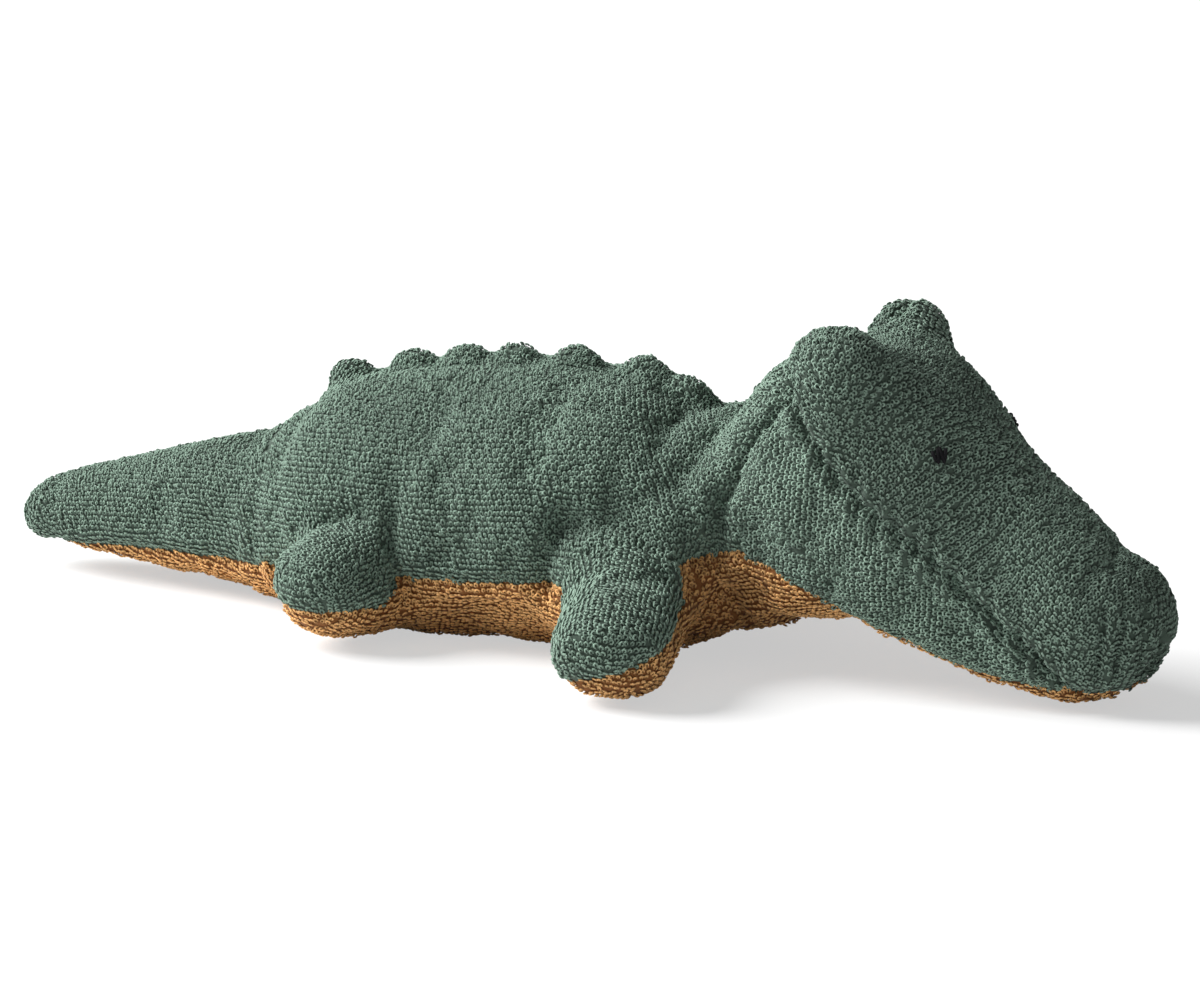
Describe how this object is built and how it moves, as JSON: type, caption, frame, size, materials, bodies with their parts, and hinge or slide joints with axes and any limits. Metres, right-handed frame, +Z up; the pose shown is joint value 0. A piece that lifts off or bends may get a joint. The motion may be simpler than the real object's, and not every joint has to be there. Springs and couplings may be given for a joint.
{
  "type": "plush crocodile",
  "caption": "Stuffed terry cloth crocodile lying on its belly, green above and ochre below, with a padded back ridge, brow bumps, stitched eyes and sewn-in legs.",
  "frame": {"origin": "on the ground under the middle of the belly, on the flat that the belly rests on", "axes": "+X from the tail to the nose, +Y to the animal's left, +Z up"},
  "size_m": [0.3443, 0.1604, 0.0916],
  "materials": {
    "green_terry": "looped terry knit, matt",
    "ochre_terry": "looped terry knit, matt",
    "fibre_filling": "loose fibre, matt",
    "black_thread": "embroidery thread, low sheen"
  },
  "bodies": {
    "torso": {"belly_panel": "ochre_terry", "back_panel_right": "green_terry", "back_panel_left": "green_terry", "body_stuffing": "fibre_filling"},
    "neck": {"neck_upper_panel": "green_terry", "throat_panel": "ochre_terry", "neck_stuffing": "fibre_filling"},
    "head": {"head_top_panel": "green_terry", "head_side_panel_right": "green_terry", "head_side_panel_left": "green_terry", "chin_panel": "ochre_terry", "head_stuffing": "fibre_filling", "eye_right": "black_thread", "eye_left": "black_thread"},
    "tail": {"tail_panel_right": "green_terry", "tail_panel_left": "green_terry", "tail_under_panel": "ochre_terry", "tail_stuffing": "fibre_filling"},
    "front_leg_right": {"front_leg_right_upper_panel": "green_terry", "front_leg_right_sole_panel": "ochre_terry", "front_leg_right_stuffing": "fibre_filling"},
    "front_leg_left": {"front_leg_left_upper_panel": "green_terry", "front_leg_left_sole_panel": "ochre_terry", "front_leg_left_stuffing": "fibre_filling"},
    "hind_leg_right": {"hind_leg_right_upper_panel": "green_terry", "hind_leg_right_sole_panel": "ochre_terry", "hind_leg_right_stuffing": "fibre_filling"},
    "hind_leg_left": {"hind_leg_left_upper_panel": "green_terry", "hind_leg_left_sole_panel": "ochre_terry", "hind_leg_left_stuffing": "fibre_filling"}
  },
  "joints": [
    {"name": "neck_turn", "type": "hinge", "parent": "torso", "child": "neck", "pos_m": [0.0704, 0, 0.036], "axis": [0, 0, 1], "range_deg": [-12, 28], "stiffness_Nm_per_rad": 0.1},
    {"name": "neck_nod", "type": "hinge", "parent": "neck", "child": "head", "pos_m": [0.0704, 0, 0.036], "axis": [0, 1, 0], "range_deg": [-10, 10], "stiffness_Nm_per_rad": 0.4},
    {"name": "tail_swing", "type": "hinge", "parent": "torso", "child": "tail", "pos_m": [-0.0745, 0, 0.022], "axis": [0, 0, 1], "range_deg": [-25, 25], "stiffness_Nm_per_rad": 0.05},
    {"name": "front_leg_right_swing", "type": "hinge", "parent": "torso", "child": "front_leg_right", "pos_m": [0.046, -0.03387, 0.018], "axis": [0, 0, 1], "range_deg": [-15, 15], "stiffness_Nm_per_rad": 0.03},
    {"name": "front_leg_left_swing", "type": "hinge", "parent": "torso", "child": "front_leg_left", "pos_m": [0.046, 0.03387, 0.018], "axis": [0, 0, 1], "range_deg": [-15, 15], "stiffness_Nm_per_rad": 0.03},
    {"name": "hind_leg_right_swing", "type": "hinge", "parent": "torso", "child": "hind_leg_right", "pos_m": [-0.036, -0.03732, 0.0165], "axis": [0, 0, 1], "range_deg": [-15, 15], "stiffness_Nm_per_rad": 0.03},
    {"name": "hind_leg_left_swing", "type": "hinge", "parent": "torso", "child": "hind_leg_left", "pos_m": [-0.036, 0.03732, 0.0165], "axis": [0, 0, 1], "range_deg": [-15, 15], "stiffness_Nm_per_rad": 0.03}
  ]
}
